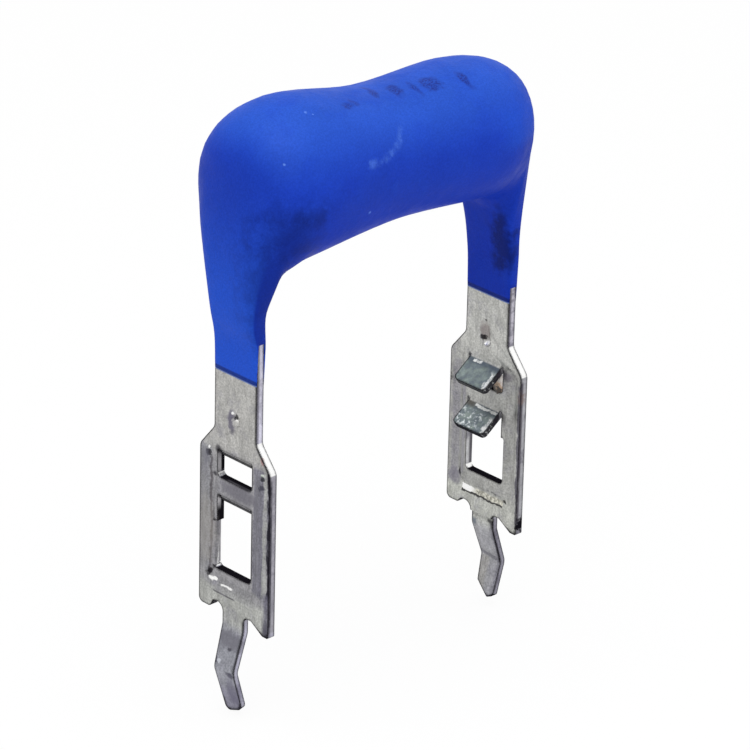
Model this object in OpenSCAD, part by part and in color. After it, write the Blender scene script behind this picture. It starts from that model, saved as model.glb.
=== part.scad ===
// Power film resistor on stamped terminals, for upright mounting on a circuit board.
// Millimetres. X runs from the left terminal to the right one, Z is up, and the origin
// lies on the board's top surface, midway between the two pins.

/* [Terminal spacing and sheet] */
// Distance between the mid planes of the two terminals
pitch = 20; // [18:0.5:30]
// Thickness of the terminal sheet
sheet_t = 0.5; // [0.4:0.05:0.6]

/* [Terminal plate] */
// Width of the wide lower plate
plate_w = 5.9; // [5.7:0.1:7]
// Height from the upper window's top edge down to the plate's upper corners
shoulder_lap = 0.14; // [0:0.01:0.6]
// Height of the sloping shoulders between the plate and the shank
shoulder_rise = 1.45; // [1.2:0.05:2.2]
// Width of the narrow shank above the shoulders
shank_w = 3.5; // [3:0.1:4]
// Radius that blends each shoulder into the plate and the shank
shoulder_r = 0.6; // [0.2:0.05:0.7]

/* [Windows] */
// Width of both windows
window_w = 2.85; // [2.5:0.05:3]
// Height of the lower window's bottom edge above the board
lower_window_z = 2.9; // [2.7:0.05:3.2]
// Height of the lower window
lower_window_h = 4.75; // [4:0.05:5.4]
// Height of the cross bar between the windows
crossbar_h = 1.12; // [0.8:0.02:1.3]
// Height of the upper window
upper_window_h = 1.75; // [1.4:0.05:2]
// Radius of the windows' corners
window_r = 0.3; // [0.1:0.05:0.5]
// Extra width punched on one side of the lower window, below the flap's blank
window_step = 0.24; // [0.1:0.02:0.3]

/* [Lanced flaps] */
// Clearance between a flap and each side of its window
flap_gap = 0.14; // [0.03:0.01:0.2]
// Thickness that a flap is pressed to, from its outer face
flap_t = 0.4; // [0.3:0.01:0.5]
// Length of a flap from its bend to its free edge
flap_len = 1.7; // [1:0.05:1.9]
// Radius of a flap's free corners
flap_corner_r = 0.3; // [0.1:0.05:0.5]
// Radius on the inside of a flap's bend
flap_bend_r = 0.2; // [0.05:0.01:0.25]
// Angle of the left terminal's flaps below the horizontal
flap_dip_left = 35; // [25:1:50]
// Angle of the right terminal's flaps below the horizontal
flap_dip_right = 36; // [25:1:50]

/* [Stiffening bead] */
// Distance from a side edge of the plate to the bead's centre line
bead_inset = 0.72; // [0.5:0.01:0.85]
// Distance from the lower window down to the bead's bottom run
bead_drop = 1.22; // [1:0.02:1.3]
// Width of the bead where it leaves the sheet
bead_w = 0.84; // [0.7:0.02:0.9]
// Rise of the bead's crest above the sheet
bead_rise = 0.13; // [0.11:0.01:0.2]
// Distance from the upper window's top edge down to the centres of the bead's ends
bead_stop = 0.5; // [0.3:0.02:0.8]
// Radius left inside the bead's turn, beyond its own radius
bead_turn_in = 0.06; // [0.05:0.01:0.4]

/* [Dimples on the shanks] */
// Height of the left dimple's deep end above the foot of the shank
dimple_left_up = 0.85; // [0.4:0.05:1.6]
// Height of the right dimple's deep end above the foot of the shank
dimple_right_up = -0.1; // [-0.1:0.05:0.6]
// Length over which the left dimple runs out downward
dimple_left_len = 0.9; // [0.4:0.05:1.2]
// Length over which the right dimple runs out upward
dimple_right_len = 1.4; // [0.8:0.05:2]
// Radius of a dimple at its deep end
dimple_r = 0.36; // [0.2:0.02:0.5]
// Radius of a dimple where it runs out
dimple_end_r = 0.06; // [0.04:0.01:0.1]
// Depth of a dimple's axis below the sheet's surface
dimple_sink = 0.1; // [0.05:0.01:0.15]

/* [Stand-off tabs] */
// Height of the left rear tab's foot above the board
rear_tab_left_z = 0.25; // [0:0.05:0.5]
// Height of the right rear tab's foot above the board
rear_tab_right_z = 0.45; // [0:0.05:0.5]
// Width of each rear tab at its foot
rear_tab_w = 1; // [0.9:0.02:1.1]
// Radius of the rear tabs' outer corner
rear_tab_r = 0.35; // [0.1:0.05:0.5]
// Width of the flat foot under each front tab
front_tab_w = 0.5; // [0.4:0.02:0.6]
// Radius of the front tabs' corners
front_tab_r = 0.12; // [0.05:0.01:0.15]
// Height of the relief between the rear tab and the pin
rear_relief_z = 0.8; // [0.6:0.05:0.95]
// Width of the relief between the rear tab and the pin
rear_relief_w = 0.8; // [0.75:0.01:0.9]
// Radius of the fillet between the rear relief and the pin
rear_fillet_r = 0.5; // [0.3:0.05:0.55]
// Height of the relief between the front tab and the pin
front_relief_z = 0.6; // [0.5:0.05:0.95]
// Width of the relief between the front tab and the pin
front_relief_w = 0.6; // [0.5:0.01:0.7]
// Radius of the other corners of the reliefs
relief_r = 0.3; // [0.1:0.05:0.35]

/* [Pin] */
// Width of the pin at its root
pin_w = 1.8; // [1.5:0.05:2]
// Narrowing of the pin's rear edge along each slanting limb
pin_taper = 0.16; // [0:0.02:0.3]
// Thickness of the pin, coined thinner than the sheet from the inside
pin_t = 0.34; // [0.25:0.01:0.4]
// Height from the lower window's bottom edge down to the pin's first bend
pin_root = 3.25; // [3.1:0.05:3.5]
// Length of the limb that slants outward
pin_out_len = 2.2; // [1.6:0.05:2.6]
// Slant of the outward limb
pin_out_angle = 18; // [10:1:24]
// Slant of the limb that comes back
pin_back_angle = 16; // [10:1:24]
// Mid-plane radius of the pin's bends
pin_bend_r = 0.7; // [0.5:0.05:1]
// Length of the left pin's limb that slants back to the tip
pin_back_left = 3.05; // [2.2:0.05:3.2]
// Length of the right pin's limb that slants back to the tip
pin_back_right = 2.25; // [1.8:0.05:3.2]
// Rise of the left pin's tip from its rear corner to its front one
tip_rise = 0.65; // [0:0.05:1]
// Radius of the left pin's tip at its front corner
pin_tip_r = 0.6; // [0.3:0.02:0.7]
// Radius of the left pin's tip at its rear corner
pin_tip_rear_r = 0.3; // [0.2:0.02:0.6]
// Height of the slanting cut across the right pin's tip
tip_cut_h = 0.8; // [0.4:0.05:1]
// Width of the corner left beside that cut
tip_corner_w = 0.45; // [0.3:0.05:0.7]
// Height of the corner left beside that cut
tip_corner_h = 0.35; // [0.2:0.05:0.4]

/* [Rod and caps] */
// Height of the rod's axis above the board
axis_z = 26.35; // [25.5:0.05:27.5]
// Diameter of the ceramic rod
rod_d = 5.2; // [4.6:0.1:5.4]
// Thickness of the resistive film
film_t = 0.1; // [0.08:0.01:0.15]
// Number of turns of the spiral cut
cut_turns = 6; // [3:1:9]
// Width of the spiral cut along the rod
cut_w = 0.55; // [0.3:0.05:0.7]
// Uncut film left at each end of the rod
film_land = 3.4; // [3:0.1:4.5]
// Thickness of the pressed end caps
cap_t = 0.25; // [0.2:0.01:0.3]
// Depth to which a cap grips the rod
cap_depth = 2.6; // [2:0.1:2.9]
// Radius of the weld pad at the top of each terminal
pad_r = 2; // [1.8:0.05:2.2]

/* [Coating at mid-length] */
// Coat above the film
waist_over = 1.31; // [1:0.01:1.6]
// Coat below the film
waist_under = 1.2; // [0.9:0.01:1.5]
// Coat on each side of the film
waist_side = 1.48; // [1.2:0.01:1.7]

/* [Coating of the left end] */
// Distance from the terminal in to the widest part of this end
left_inset = 3.4; // [3:0.05:4]
// Coat above the cap
left_over = 2.16; // [1.4:0.01:2.4]
// Coat below the cap
left_under = 1.33; // [1:0.01:1.6]
// Coat on each side of the cap
left_side = 1.57; // [1.2:0.01:1.8]
// Coat on each side of the cap at the rounded upper corner
left_corner_side = 1.27; // [1:0.01:1.5]
// Coat outside the terminal at the outermost point
left_bulge = 0.79; // [0.5:0.01:1]
// Height of the outermost point above the rod's axis
left_bulge_up = 0.1; // [-0.3:0.05:1]
// Coat on each side of the weld pad at the outermost point
left_bulge_side = 1.15; // [0.8:0.01:1.4]

/* [Coating of the right end] */
// Distance from the terminal in to the widest part of this end
right_inset = 3.2; // [3:0.05:4]
// Coat above the cap
right_over = 0.95; // [0.7:0.01:2.4]
// Coat below the cap
right_under = 1.46; // [1:0.01:1.6]
// Coat on each side of the cap
right_side = 1.42; // [1.2:0.01:1.8]
// Coat on each side of the cap at the rounded upper corner
right_corner_side = 0.75; // [0.9:0.01:1.5]
// Coat outside the terminal at the outermost point
right_bulge = 0.42; // [0.35:0.01:1]
// Height of the outermost point above the rod's axis
right_bulge_up = 0.9; // [-0.3:0.05:1]
// Coat on each side of the weld pad at the outermost point
right_bulge_side = 0.9; // [0.5:0.01:1.4]

/* [Coating of the legs] */
// Height of the inner fillet between the underside and each leg
fillet_h = 2.1; // [1.6:0.05:2.6]
// Distance from a terminal's mid plane in to the start of its inner fillet
fillet_inset = 3.75; // [3.3:0.05:4.2]
// Bare shank between the shoulders and the coat on the left terminal
left_bare = 3.65; // [2.5:0.05:4.5]
// Bare shank between the shoulders and the coat on the right terminal
right_bare = 2.9; // [2.5:0.05:4.5]
// Height over which the coat leaves the left shank's side edges bare, above its lower edge
bare_side_left = 2.6; // [1:0.1:3]
// Height over which the coat leaves the right shank's side edges bare, above its lower edge
bare_side_right = 1; // [0.5:0.1:3]
// Coat left at its lower edge
edge_t = 0.06; // [0.05:0.01:0.1]
// Coat on a shank's faces half way up a leg
mid_leg_t = 0.14; // [0.1:0.01:0.2]
// Coat on a shank's side edges half way up a leg
mid_leg_side = 0.12; // [0.1:0.01:0.2]
// Coat on the left shank's outer face at the fillet
left_leg_outer = 0.62; // [0.2:0.01:0.8]
// Coat on the left shank's inner face at the fillet
left_leg_inner = 0.22; // [0.2:0.01:0.6]
// Coat on the left shank's side edges at the fillet
left_leg_side = 0.25; // [0.15:0.01:0.5]
// Coat on the right shank's outer face at the fillet
right_leg_outer = 0.2; // [0.15:0.01:0.8]
// Coat on the right shank's inner face at the fillet
right_leg_inner = 0.55; // [0.2:0.01:0.6]
// Coat on the right shank's side edges at the fillet
right_leg_side = 0.3; // [0.15:0.01:0.5]

/* [Hidden] */
$fn = 48;

// Steps along one stretch of the coat and points round it
coat_steps = 6;
coat_points = 40;
// Steps of one turn of the film's spiral band
band_steps = 36;
// Clearance between the coat and what it encloses
coat_fit = 0.01;
// Clearance between the film and the cap pressed over it
cap_fit = 0.01;
// Clearance between the rod's end and the cap's floor
rod_gap = 0.1;
// Clearance between the facets of the spiral band and the round surfaces beside them
band_fit = 0.005;
// Clearance between a flap's blank and the wider punching below it
blank_fit = 0.05;
// Length by which joined pieces of one node run into each other
bite = 0.1;
// Squareness of the coat's sections, 2 for an ellipse and more towards a rectangle
edge_square = 8;
mid_leg_square = 7;
leg_square = 4.5;
bulge_square = 2.2;
body_square = 2;
// Share of the way from the widest part to the outermost point, and up to the top, at
// which the upper corner is passed: 0.71 both ways is a quarter ellipse
left_corner = [0.8, 0.75];
right_corner = [0.85, 0.66];

half_pitch = pitch / 2;
// Distance from mid-length to a terminal's inner face, where the cap is welded
weld_x = half_pitch - sheet_t / 2;
outer_x = half_pitch + sheet_t / 2;
rod_half = weld_x - cap_t - rod_gap;
film_r = rod_d / 2 + film_t;
cap_r = film_r + cap_fit + cap_t;
lower_window_top = lower_window_z + lower_window_h;
upper_window_z = lower_window_top + crossbar_h;
upper_window_top = upper_window_z + upper_window_h;
plate_top = upper_window_top - shoulder_lap;
shank_foot = plate_top + shoulder_rise;
pin_top = min(front_relief_z - relief_r, rear_relief_z - rear_fillet_r);
pin_bend_z = lower_window_z - pin_root;
pin_front = -pin_w / 2;
pin_rear = pin_w / 2;
pin_kink_rear = pin_rear - pin_taper;
pin_tip_rear = pin_kink_rear - pin_taper;
flap_w = window_w - 2 * flap_gap;
bead_r = (bead_w * bead_w / 4 + bead_rise * bead_rise) / (2 * bead_rise);
bead_turn_r = bead_r + bead_turn_in;
left_edge_z = shank_foot + left_bare;
right_edge_z = shank_foot + right_bare;

// ---------------------------------------------------------------- flat outlines

function unit(v) = v / norm(v);

// An exact outline from corners [y, z, radius]: each corner is cut by a chord, and the
// piece between the chord and the arc is added at a convex corner and taken away at a
// concave one. The corners run anticlockwise.
module rounded_outline(corners) {
    n = len(corners);
    points = [for (c = corners) [c[0], c[1]]];
    to_last = [for (i = [0:n - 1]) unit(points[(i + n - 1) % n] - points[i])];
    to_next = [for (i = [0:n - 1]) unit(points[(i + 1) % n] - points[i])];
    half_angle = [for (i = [0:n - 1]) acos(to_last[i] * to_next[i]) / 2];
    reach = [for (i = [0:n - 1]) corners[i][2] / tan(half_angle[i])];
    tangents = [for (i = [0:n - 1])
        [points[i] + to_last[i] * reach[i], points[i] + to_next[i] * reach[i]]];
    convex = [for (i = [0:n - 1])
        to_next[i][0] * to_last[i][1] - to_next[i][1] * to_last[i][0] > 0];
    chords = [for (i = [0:n - 1]) each corners[i][2] > 0 ? tangents[i] : [points[i]]];

    module between_chord_and_arc(i) {
        bisector = unit(to_last[i] + to_next[i]);
        centre = points[i] + bisector * corners[i][2] / sin(half_angle[i]);
        intersection() {
            translate(centre) circle(r = corners[i][2]);
            polygon([tangents[i][0], points[i], tangents[i][1]]);
        }
    }

    difference() {
        union() {
            polygon(chords);
            for (i = [0:n - 1]) if (corners[i][2] > 0 && convex[i]) between_chord_and_arc(i);
        }
        for (i = [0:n - 1]) if (corners[i][2] > 0 && !convex[i]) between_chord_and_arc(i);
    }
}

// Stands an outline drawn in y and z up in the sheet's mid plane at x = 0
module upright(t) {
    rotate([90, 0, 90]) translate([0, 0, -t / 2]) linear_extrude(height = t) children();
}

// ---------------------------------------------------------------- terminals
// A terminal is drawn about its own mid plane at x = 0 with its outer face towards -X.

// Plate, shoulders, shank and both stand-off tabs. +y is the rear edge.
module plate_outline(rear_tab_z) {
    rear = plate_w / 2;
    front = -plate_w / 2;
    neck = shank_w / 2;
    root = pin_w / 2;
    rounded_outline([
        [-neck, axis_z, 0],
        [-neck, shank_foot, shoulder_r],
        [front, plate_top, shoulder_r],
        [front, 0, front_tab_r],
        [front + front_tab_w, 0, front_tab_r],
        [-root - front_relief_w, front_relief_z, relief_r],
        [-root, front_relief_z, relief_r],
        [-root, pin_top, 0],
        [root, pin_top, 0],
        [root, rear_relief_z, rear_fillet_r],
        [root + rear_relief_w, rear_relief_z, relief_r],
        [rear - rear_tab_w, rear_tab_z, relief_r],
        [rear, rear_tab_z, rear_tab_r],
        [rear, plate_top, shoulder_r],
        [neck, shank_foot, shoulder_r],
        [neck, axis_z, 0]
    ]);
}

// A window, square at its top edge, where the flap bends out of it
module window_outline(z, h) {
    half = window_w / 2;
    rounded_outline([
        [-half, z, window_r],
        [half, z, window_r],
        [half, z + h, 0],
        [-half, z + h, 0]
    ]);
}

// The part of the lower window that is punched out wider below the flap's blank, which was
// shorter than the flap by as much as pressing it thinner has drawn it out
module step_outline(step_side, dip) {
    pressed = flap_len + (flap_bend_r + flap_t / 2) * (90 - dip) * PI / 180;
    blank = pressed * flap_t / sheet_t + blank_fit;
    half = window_w / 2;
    top = lower_window_top - blank;
    mirror([step_side < 0 ? 1 : 0, 0]) rounded_outline([
        [0, lower_window_z, 0],
        [half + window_step, lower_window_z, window_r],
        [half + window_step, top, window_step / 2],
        [0, top, 0]
    ]);
}

// One half of the round-backed U that runs beside the windows and across below them
module bead_half(x) {
    leg_y = plate_w / 2 - bead_inset;
    run_z = lower_window_z - bead_drop;
    leg_top = upper_window_top - bead_stop;
    translate([x, leg_y, run_z + bead_turn_r])
        cylinder(r = bead_r, h = leg_top - run_z - bead_turn_r);
    translate([x, leg_y, leg_top]) sphere(r = bead_r);
    translate([x, leg_y - bead_turn_r, run_z + bead_turn_r])
        rotate([0, 90, 0]) rotate_extrude(angle = 90)
        translate([bead_turn_r, 0]) circle(r = bead_r);
    translate([x, 0, run_z])
        rotate([-90, 0, 0]) cylinder(r = bead_r, h = leg_y - bead_turn_r);
}

module bead_rod(x) {
    bead_half(x);
    mirror([0, 1, 0]) bead_half(x);
}

// The teardrop dimple, deep at z and running out over a length, downward if that is negative
module dimple(x, z, length) {
    translate([x, 0, z]) {
        sphere(r = dimple_r);
        mirror([0, 0, length < 0 ? 1 : 0])
            cylinder(r1 = dimple_r, r2 = dimple_end_r, h = abs(length));
    }
}

// A bend of the sheet from y0 to y1 that starts downward at the origin and turns towards +X
module bend(angle, mid_r, y0, y1, t) {
    translate([mid_r, 0, 0]) rotate([90, 0, 0]) rotate([0, 0, 180])
        rotate_extrude(angle = angle)
        translate([mid_r - t / 2, -y1]) square([t, y1 - y0]);
}

// Moves its children to the end of such a bend and turns them to run on from it
module after_bend(angle, mid_r) {
    translate([mid_r * (1 - cos(angle)), 0, -mid_r * sin(angle)])
        rotate([0, -angle, 0]) children();
}

// The flap lanced from a window and bent inward, flush with the plate's inner face at its root
module flap(z, dip) {
    turn = 90 - dip;
    mid_r = flap_bend_r + flap_t / 2;
    half = flap_w / 2;
    translate([(sheet_t - flap_t) / 2, 0, z]) {
        translate([-flap_t / 2, -half, 0]) cube([flap_t, flap_w, bite]);
        bend(turn, mid_r, -half, half, flap_t);
        after_bend(turn, mid_r) upright(flap_t) rounded_outline([
            [-half, -flap_len, flap_corner_r],
            [half, -flap_len, flap_corner_r],
            [half, 0, 0],
            [-half, 0, 0]
        ]);
    }
}

// Outline of a limb of the pin whose rounded tip rises towards the front
function rounded_tip(length) = [
    [pin_front, tip_rise - length, pin_tip_r],
    [pin_tip_rear, -length, pin_tip_rear_r],
    [pin_kink_rear, 0, 0],
    [pin_front, 0, 0]
];

// Outline of a limb of the pin whose tip is cut off at a slant
function sheared_tip(length) = [
    [pin_front, tip_corner_h - length, front_tab_r],
    [pin_front + tip_corner_w, -length, front_tab_r],
    [pin_tip_rear, tip_cut_h - length, front_tab_r],
    [pin_kink_rear, 0, 0],
    [pin_front, 0, 0]
];

// The pin below the plate, flush with its outer face: out, round the kink and back in
module pin(tip) {
    kink = pin_out_angle + pin_back_angle;
    translate([(pin_t - sheet_t) / 2, 0, pin_bend_z]) {
        translate([-pin_t / 2, pin_front, 0]) cube([pin_t, pin_w, pin_top + bite - pin_bend_z]);
        mirror([1, 0, 0]) {
            bend(pin_out_angle, pin_bend_r, pin_front, pin_rear, pin_t);
            after_bend(pin_out_angle, pin_bend_r) {
                upright(pin_t) polygon([
                    [pin_front, 0],
                    [pin_front, -pin_out_len],
                    [pin_kink_rear, -pin_out_len],
                    [pin_rear, 0]
                ]);
                translate([0, 0, -pin_out_len]) mirror([1, 0, 0]) {
                    bend(kink, pin_bend_r, pin_front, pin_kink_rear, pin_t);
                    after_bend(kink, pin_bend_r) upright(pin_t) rounded_outline(tip);
                }
            }
        }
    }
}

module terminal(dip, rear_tab_z, step_side, dimple_z, dimple_len, tip) {
    outer_face = -sheet_t / 2;
    inner_face = sheet_t / 2;
    bead_sink = bead_r - bead_rise;
    difference() {
        union() {
            upright(sheet_t) difference() {
                union() {
                    plate_outline(rear_tab_z);
                    translate([0, axis_z]) circle(r = pad_r);
                }
                window_outline(lower_window_z, lower_window_h);
                window_outline(upper_window_z, upper_window_h);
                step_outline(step_side, dip);
            }
            intersection() {
                bead_rod(outer_face + bead_sink);
                translate([outer_face - bead_rise - bite, -plate_w / 2, 0])
                    cube([sheet_t / 2 + bead_rise + bite, plate_w, shank_foot]);
            }
            dimple(outer_face + dimple_sink, dimple_z, dimple_len);
        }
        bead_rod(inner_face + bead_sink);
        dimple(inner_face + dimple_sink, dimple_z, dimple_len);
    }
    flap(lower_window_top, dip);
    flap(upper_window_top, dip);
    pin(tip);
}

module terminal_left() {
    color("#b9b8b4") translate([-half_pitch, 0, 0]) terminal(
        dip = flap_dip_left,
        rear_tab_z = rear_tab_left_z,
        step_side = 1,
        dimple_z = shank_foot + dimple_left_up,
        dimple_len = -dimple_left_len,
        tip = rounded_tip(pin_back_left)
    );
}

module terminal_right() {
    color("#b9b8b4") translate([half_pitch, 0, 0]) mirror([1, 0, 0]) terminal(
        dip = flap_dip_right,
        rear_tab_z = rear_tab_right_z,
        step_side = -1,
        dimple_z = shank_foot + dimple_right_up,
        dimple_len = dimple_right_len,
        tip = sheared_tip(pin_back_right)
    );
}

// ---------------------------------------------------------------- rod, film and caps

module ceramic_core() {
    color("#efe9dc") translate([-rod_half, 0, axis_z])
        rotate([0, 90, 0]) cylinder(r = rod_d / 2, h = 2 * rod_half);
}

// The band of film that the spiral cut leaves, swept along its helix about Z
module spiral_band(run, lead, width) {
    outer = film_r - band_fit;
    inner = rod_d / 2 / cos(180 / band_steps) + band_fit;
    last = round(run / lead * band_steps);
    points = [for (i = [0:last])
        let (a = 360 * i / band_steps, z = lead * i / band_steps - run / 2)
        each [for (c = [[inner, -1], [outer, -1], [outer, 1], [inner, 1]])
            [c[0] * cos(a), c[0] * sin(a), z + c[1] * width / 2]]];
    walls = [for (i = [0:last - 1]) for (k = [0:3])
        let (a = 4 * i + k, b = 4 * i + (k + 1) % 4)
        each [[a, b, a + 4], [b, b + 4, a + 4]]];
    ends = [[3, 2, 1, 0], [for (k = [0:3]) 4 * last + k]];
    polyhedron(points, concat(walls, ends), convexity = 4);
}

// A full ring of film at each end joined by the band that the spiral cut leaves
module resistive_film() {
    cut_len = 2 * (rod_half - film_land);
    lead = cut_len / cut_turns;
    band_w = lead - cut_w;
    color("#5b4a3c") translate([0, 0, axis_z]) rotate([0, 90, 0]) {
        for (side = [-1, 1]) translate([0, 0, side * (rod_half - film_land / 2)])
            difference() {
                cylinder(r = film_r, h = film_land, center = true);
                cylinder(r = rod_d / 2, h = film_land + bite, center = true);
            }
        spiral_band(cut_len + lead, lead, band_w);
    }
}

// A cup pressed over the rod's end, drawn with its floor at x = 0 and its mouth towards +X
module end_cap() {
    inner = film_r + cap_fit;
    rotate([0, 90, 0]) rotate_extrude() polygon([
        [0, 0], [cap_r, 0], [cap_r, cap_t + cap_depth],
        [inner, cap_t + cap_depth], [inner, cap_t], [0, cap_t]
    ]);
}

module end_cap_left() {
    color("#a9adb0") translate([-weld_x, 0, axis_z]) end_cap();
}

module end_cap_right() {
    color("#a9adb0") translate([weld_x, 0, axis_z]) mirror([1, 0, 0]) end_cap();
}

// ---------------------------------------------------------------- coating
// The coat is lofted along the U from one lower edge to the other. Each station gives
// [outer x, outer z, inner x, inner z, half width, squareness], where the outer and inner
// points lie on the coat's two rails in the plane y = 0, and the section between them is
// a superellipse whose squareness is 2 for an ellipse.

// Stations of one end, from the lower edge to the shoulder, with x positive
function end_stations(edge_z, inset, over, under, side, corner, corner_side, bulge, bulge_up,
                      bulge_side, leg_outer, leg_inner, leg_side) =
    let (wide_x = half_pitch - inset,
         top = axis_z + cap_r + over,
         belly = axis_z - cap_r - under,
         end_x = outer_x + bulge,
         end_z = axis_z + bulge_up,
         fillet_z = belly - fillet_h,
         fillet_x = half_pitch - fillet_inset,
         leg_in = weld_x - leg_inner,
         fillet = function (a) [leg_in - (leg_in - fillet_x) * (1 - cos(a)),
                                fillet_z + fillet_h * sin(a)],
         low = fillet(30),
         high = fillet(60))
    [
        [outer_x + edge_t, edge_z, weld_x - edge_t, edge_z, shank_w / 2 + edge_t, edge_square],
        [outer_x + mid_leg_t, (edge_z + fillet_z) / 2, weld_x - mid_leg_t, (edge_z + fillet_z) / 2,
         shank_w / 2 + mid_leg_side, mid_leg_square],
        [outer_x + leg_outer, fillet_z, leg_in, fillet_z, shank_w / 2 + leg_side, leg_square],
        [end_x, end_z, low[0], low[1], pad_r + bulge_side, bulge_square],
        [wide_x + (end_x - wide_x) * corner[0], end_z + (top - end_z) * corner[1],
         high[0], high[1], cap_r + corner_side, body_square],
        [wide_x, top, fillet_x, belly, cap_r + side, body_square]
    ];

function mirrored(stations) = [for (s = stations) [-s[0], s[1], -s[2], s[3], s[4], s[5]]];
function reversed(list) = [for (i = [len(list) - 1:-1:0]) list[i]];

left_stations = end_stations(
    edge_z = left_edge_z,
    inset = left_inset,
    over = left_over,
    under = left_under,
    side = left_side,
    corner = left_corner,
    corner_side = left_corner_side,
    bulge = left_bulge,
    bulge_up = left_bulge_up,
    bulge_side = left_bulge_side,
    leg_outer = left_leg_outer,
    leg_inner = left_leg_inner,
    leg_side = left_leg_side
);
right_stations = end_stations(
    edge_z = right_edge_z,
    inset = right_inset,
    over = right_over,
    under = right_under,
    side = right_side,
    corner = right_corner,
    corner_side = right_corner_side,
    bulge = right_bulge,
    bulge_up = right_bulge_up,
    bulge_side = right_bulge_side,
    leg_outer = right_leg_outer,
    leg_inner = right_leg_inner,
    leg_side = right_leg_side
);
waist_station = [0, axis_z + film_r + waist_over, 0, axis_z - film_r - waist_under,
                 film_r + waist_side, body_square];
stations = concat(mirrored(left_stations), [waist_station], reversed(right_stations));

// Catmull-Rom curve through the stations, with the end tangents carried straight on
function knot(i) =
    i < 0 ? 2 * stations[0] - stations[1]
    : i >= len(stations) ? 2 * stations[len(stations) - 1] - stations[len(stations) - 2]
    : stations[i];
function smooth(i, t) =
    let (a = knot(i - 1), b = knot(i), c = knot(i + 1), d = knot(i + 2))
    (2 * b + (c - a) * t + (2 * a - 5 * b + 4 * c - d) * t * t
     + (3 * b - a - 3 * c + d) * t * t * t) / 2;

function power(v, e) = sign(v) * pow(abs(v), e);

// One section of the coat as a ring of points
function section(s) =
    let (mid = [(s[0] + s[2]) / 2, (s[1] + s[3]) / 2],
         half = [(s[0] - s[2]) / 2, (s[1] - s[3]) / 2])
    [for (k = [0:coat_points - 1])
        let (a = 360 * k / coat_points,
             along = power(cos(a), 2 / s[5]),
             across = power(sin(a), 2 / s[5]))
        [mid[0] + half[0] * along, s[4] * across, mid[1] + half[1] * along]];

module coat_skin() {
    last = len(stations) - 1;
    curve = [for (i = [0:last - 1]) for (j = [0:coat_steps - 1]) smooth(i, j / coat_steps),
             stations[last]];
    rings = len(curve);
    points = [for (s = curve) each section(s)];
    walls = [for (i = [0:rings - 2]) for (k = [0:coat_points - 1])
        let (a = i * coat_points + k,
             b = i * coat_points + (k + 1) % coat_points)
        each [[a, b, a + coat_points], [b, b + coat_points, a + coat_points]]];
    first_end = [for (k = [coat_points - 1:-1:0]) k];
    last_end = [for (k = [0:coat_points - 1]) (rings - 1) * coat_points + k];
    polyhedron(points, concat(walls, [first_end, last_end]), convexity = 6);
}

// The room that the coat leaves for the rod, the caps and the two terminal heads
module coat_cavity() {
    grown_film = film_r + coat_fit;
    grown_cap = cap_r + coat_fit;
    translate([0, 0, axis_z]) rotate([0, 90, 0]) {
        cylinder(r = grown_film, h = 2 * rod_half, center = true);
        for (side = [-1, 1])
            translate([0, 0, side * (weld_x - (cap_t + cap_depth) / 2)])
            cylinder(r = grown_cap, h = cap_t + cap_depth + 2 * coat_fit, center = true);
    }
    for (side = [-1, 1]) translate([side * half_pitch, 0, 0]) upright(sheet_t + 2 * coat_fit) {
        translate([0, axis_z]) circle(r = pad_r + coat_fit);
        translate([-shank_w / 2 - coat_fit, shank_foot])
            square([shank_w + 2 * coat_fit, axis_z - shank_foot]);
    }
}

// What the coat leaves bare where it has drawn back from a shank's side edges
module bare_edges(edge_z, height) {
    across = 2 * (cap_r + max(left_side, right_side));
    translate([-sheet_t / 2 - coat_fit, -across / 2, edge_z - bite])
        cube([sheet_t + 2 * coat_fit, across, height + bite]);
}

module coating() {
    color("#1f4fd0") difference() {
        coat_skin();
        coat_cavity();
        translate([-half_pitch, 0, 0]) bare_edges(left_edge_z, bare_side_left);
        translate([half_pitch, 0, 0]) bare_edges(right_edge_z, bare_side_right);
    }
}

coating();
ceramic_core();
resistive_film();
end_cap_left();
end_cap_right();
terminal_left();
terminal_right();
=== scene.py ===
"""Looks of an upright power film resistor: a blue dipped coat on two stamped, tinned terminals.

Patterns are laid out in millimetres in the part's own frame: X from the left terminal to the
right one, Y from the front to the back and Z up from the board.
"""
import math
import bpy
import bmesh
from mathutils import Matrix, Vector, noise


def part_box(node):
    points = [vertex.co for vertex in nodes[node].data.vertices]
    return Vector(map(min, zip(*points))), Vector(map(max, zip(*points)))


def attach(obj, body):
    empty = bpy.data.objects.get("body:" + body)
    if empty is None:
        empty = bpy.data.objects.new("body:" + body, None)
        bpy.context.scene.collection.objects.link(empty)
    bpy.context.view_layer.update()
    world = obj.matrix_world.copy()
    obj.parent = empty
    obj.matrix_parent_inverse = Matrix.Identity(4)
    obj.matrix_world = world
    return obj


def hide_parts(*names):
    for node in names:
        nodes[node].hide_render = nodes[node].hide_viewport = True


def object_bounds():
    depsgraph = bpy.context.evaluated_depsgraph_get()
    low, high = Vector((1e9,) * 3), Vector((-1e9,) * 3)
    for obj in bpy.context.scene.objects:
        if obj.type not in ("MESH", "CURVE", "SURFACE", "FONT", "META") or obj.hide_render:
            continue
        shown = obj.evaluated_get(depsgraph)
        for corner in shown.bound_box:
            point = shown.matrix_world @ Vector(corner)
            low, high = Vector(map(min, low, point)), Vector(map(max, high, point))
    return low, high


MM = 0.001

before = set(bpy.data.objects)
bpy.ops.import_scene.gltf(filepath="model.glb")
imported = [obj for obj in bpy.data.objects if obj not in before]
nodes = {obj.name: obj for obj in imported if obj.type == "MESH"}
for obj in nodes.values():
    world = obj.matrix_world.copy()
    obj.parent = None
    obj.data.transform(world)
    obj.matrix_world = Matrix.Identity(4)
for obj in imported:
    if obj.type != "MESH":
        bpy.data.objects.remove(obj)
cad_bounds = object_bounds()

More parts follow.
